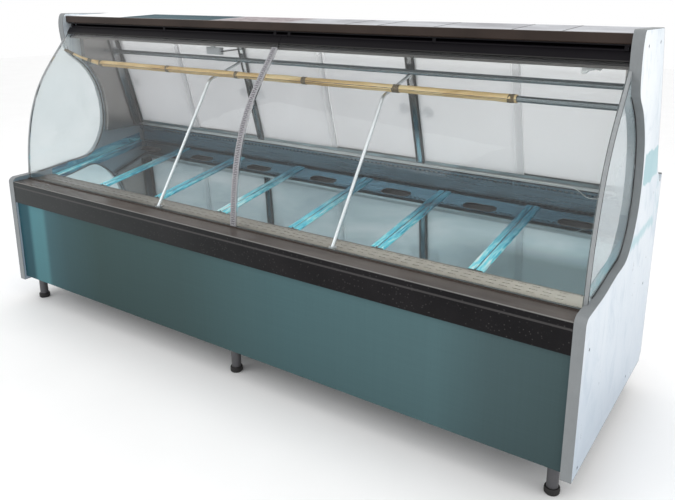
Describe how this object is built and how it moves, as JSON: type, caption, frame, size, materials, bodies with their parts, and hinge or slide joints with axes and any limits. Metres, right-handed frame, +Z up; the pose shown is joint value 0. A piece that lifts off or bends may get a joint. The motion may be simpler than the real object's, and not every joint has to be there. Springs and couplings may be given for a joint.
{
  "type": "curved glass display counter",
  "caption": "Refrigerated serve-over display counter with curved hinged front glass, solid end panels, sloping lift-out deck trays and sliding rear doors on levelling feet.",
  "frame": {"origin": "centre of the cabinet's footprint, on the floor under the feet", "axes": "+X along the counter's length (to the right for a customer), +Y from the customer's side to the operator's side, +Z up"},
  "size_m": [2.5, 0.8, 1.25],
  "materials": {
    "panel_steel": "stainless with a protective film",
    "edge_aluminium": "satin",
    "front_steel": "brushed, teal film",
    "stone": "polished dark granite",
    "clear_glass": "clear",
    "mirror_steel": "mirror polished",
    "counter_steel": "satin",
    "tub_white": "white lining",
    "rail_steel": "bright",
    "kraft_sleeve": "kraft wrap",
    "black_rubber": "matt",
    "black_sheet": "semi gloss black",
    "joint_plastic": "translucent grey",
    "lamp_white": "diffuser",
    "frame_paint": "galvanised grey",
    "fin_aluminium": "finned",
    "fan_plastic": "moulded",
    "machine_black": "black enamel",
    "control_plastic": "moulded",
    "drain_plastic": "white pipe",
    "screw_steel": "dark screw heads"
  },
  "bodies": {
    "cabinet": {"end_panel_left": "panel_steel", "end_panel_right": "panel_steel", "inner_cheeks": "panel_steel", "edge_bands": "edge_aluminium", "side_glass_frames": "edge_aluminium", "valance_lip": "edge_aluminium", "door_tracks": "edge_aluminium", "glass_hinge_rail": "edge_aluminium", "front_panel": "front_steel", "stone_band": "stone", "top_fascia": "stone", "side_glass": "clear_glass", "rear_posts": "mirror_steel", "rear_air_duct": "mirror_steel", "rear_counter": "counter_steel", "rear_panels": "counter_steel", "top_cover": "counter_steel", "canopy_frame": "counter_steel", "front_grille": "counter_steel", "insulated_tub": "tub_white", "hang_rails": "rail_steel", "support_rods": "rail_steel", "rail_sleeves": "kraft_sleeve", "leg_feet": "black_rubber", "glass_seal": "black_rubber", "valance": "black_sheet", "lamp": "lamp_white", "lamp_holders": "lamp_white", "base_frame": "frame_paint", "tray_rails": "frame_paint", "leg_tubes": "frame_paint", "evaporator": "fin_aluminium", "condenser": "fin_aluminium", "compressor": "machine_black", "control_box": "control_plastic", "drain_pipe": "drain_plastic", "panel_screws": "screw_steel"},
    "front_left": {"front_glass_left": "clear_glass", "glass_clamp_left": "edge_aluminium", "glass_joint_profile": "joint_plastic"},
    "front_right": {"front_glass_right": "clear_glass", "glass_clamp_right": "edge_aluminium"},
    "tray_1": {"tray_1": "mirror_steel"},
    "tray_2": {"tray_2": "mirror_steel"},
    "tray_3": {"tray_3": "mirror_steel"},
    "tray_4": {"tray_4": "mirror_steel"},
    "tray_5": {"tray_5": "mirror_steel"},
    "tray_6": {"tray_6": "mirror_steel"},
    "tray_7": {"tray_7": "mirror_steel"},
    "rear_door_1": {"rear_door_1": "clear_glass"},
    "rear_door_2": {"rear_door_2": "clear_glass"},
    "rear_door_3": {"rear_door_3": "clear_glass"},
    "rear_door_4": {"rear_door_4": "clear_glass"},
    "rear_door_5": {"rear_door_5": "clear_glass"},
    "rear_door_6": {"rear_door_6": "clear_glass"},
    "evaporator_fan_left": {"evaporator_fan_left": "fan_plastic"},
    "evaporator_fan_right": {"evaporator_fan_right": "fan_plastic"},
    "condenser_fan": {"condenser_fan": "fan_plastic"},
    "light_switch": {"light_switch": "control_plastic"},
    "thermostat_knob": {"thermostat_knob": "control_plastic"}
  },
  "joints": [
    {"name": "front_glass_left_lift", "type": "hinge", "parent": "cabinet", "child": "front_left", "pos_m": [-0.6, -0.0485, 1.1935], "axis": [-1, 0, 0], "range_deg": [0, 50]},
    {"name": "front_glass_right_lift", "type": "hinge", "parent": "cabinet", "child": "front_right", "pos_m": [0.6, -0.0485, 1.1935], "axis": [-1, 0, 0], "range_deg": [0, 50]},
    {"name": "tray_1_lift", "type": "slide", "parent": "cabinet", "child": "tray_1", "axis": [0, 0, 1], "range_m": [0, 0.06]},
    {"name": "tray_2_lift", "type": "slide", "parent": "cabinet", "child": "tray_2", "axis": [0, 0, 1], "range_m": [0, 0.06]},
    {"name": "tray_3_lift", "type": "slide", "parent": "cabinet", "child": "tray_3", "axis": [0, 0, 1], "range_m": [0, 0.06]},
    {"name": "tray_4_lift", "type": "slide", "parent": "cabinet", "child": "tray_4", "axis": [0, 0, 1], "range_m": [0, 0.06]},
    {"name": "tray_5_lift", "type": "slide", "parent": "cabinet", "child": "tray_5", "axis": [0, 0, 1], "range_m": [0, 0.06]},
    {"name": "tray_6_lift", "type": "slide", "parent": "cabinet", "child": "tray_6", "axis": [0, 0, 1], "range_m": [0, 0.06]},
    {"name": "tray_7_lift", "type": "slide", "parent": "cabinet", "child": "tray_7", "axis": [0, 0, 1], "range_m": [0, 0.06]},
    {"name": "rear_door_1_slide", "type": "slide", "parent": "cabinet", "child": "rear_door_1", "axis": [1, 0, 0], "range_m": [0, 0.364]},
    {"name": "rear_door_2_slide", "type": "slide", "parent": "cabinet", "child": "rear_door_2", "axis": [-1, 0, 0], "range_m": [0, 0.364]},
    {"name": "rear_door_3_slide", "type": "slide", "parent": "cabinet", "child": "rear_door_3", "axis": [1, 0, 0], "range_m": [0, 0.364]},
    {"name": "rear_door_4_slide", "type": "slide", "parent": "cabinet", "child": "rear_door_4", "axis": [-1, 0, 0], "range_m": [0, 0.364]},
    {"name": "rear_door_5_slide", "type": "slide", "parent": "cabinet", "child": "rear_door_5", "axis": [1, 0, 0], "range_m": [0, 0.364]},
    {"name": "rear_door_6_slide", "type": "slide", "parent": "cabinet", "child": "rear_door_6", "axis": [-1, 0, 0], "range_m": [0, 0.364]},
    {"name": "evaporator_fan_left_spin", "type": "hinge", "parent": "cabinet", "child": "evaporator_fan_left", "pos_m": [-0.325, 0.071, 0.425], "axis": [0, 1, 0], "continuous": true},
    {"name": "evaporator_fan_right_spin", "type": "hinge", "parent": "cabinet", "child": "evaporator_fan_right", "pos_m": [0.325, 0.071, 0.425], "axis": [0, 1, 0], "continuous": true},
    {"name": "condenser_fan_spin", "type": "hinge", "parent": "cabinet", "child": "condenser_fan", "pos_m": [0.88, 0.273, 0.215], "axis": [0, 1, 0], "continuous": true},
    {"name": "light_switch_rock", "type": "hinge", "parent": "cabinet", "child": "light_switch", "pos_m": [0.95, 0.388, 0.62], "axis": [-1, 0, 0], "range_deg": [0, 16]},
    {"name": "thermostat_knob_turn", "type": "hinge", "parent": "cabinet", "child": "thermostat_knob", "pos_m": [1.06, 0.3936, 0.62], "axis": [0, 1, 0], "range_deg": [0, 270]}
  ]
}
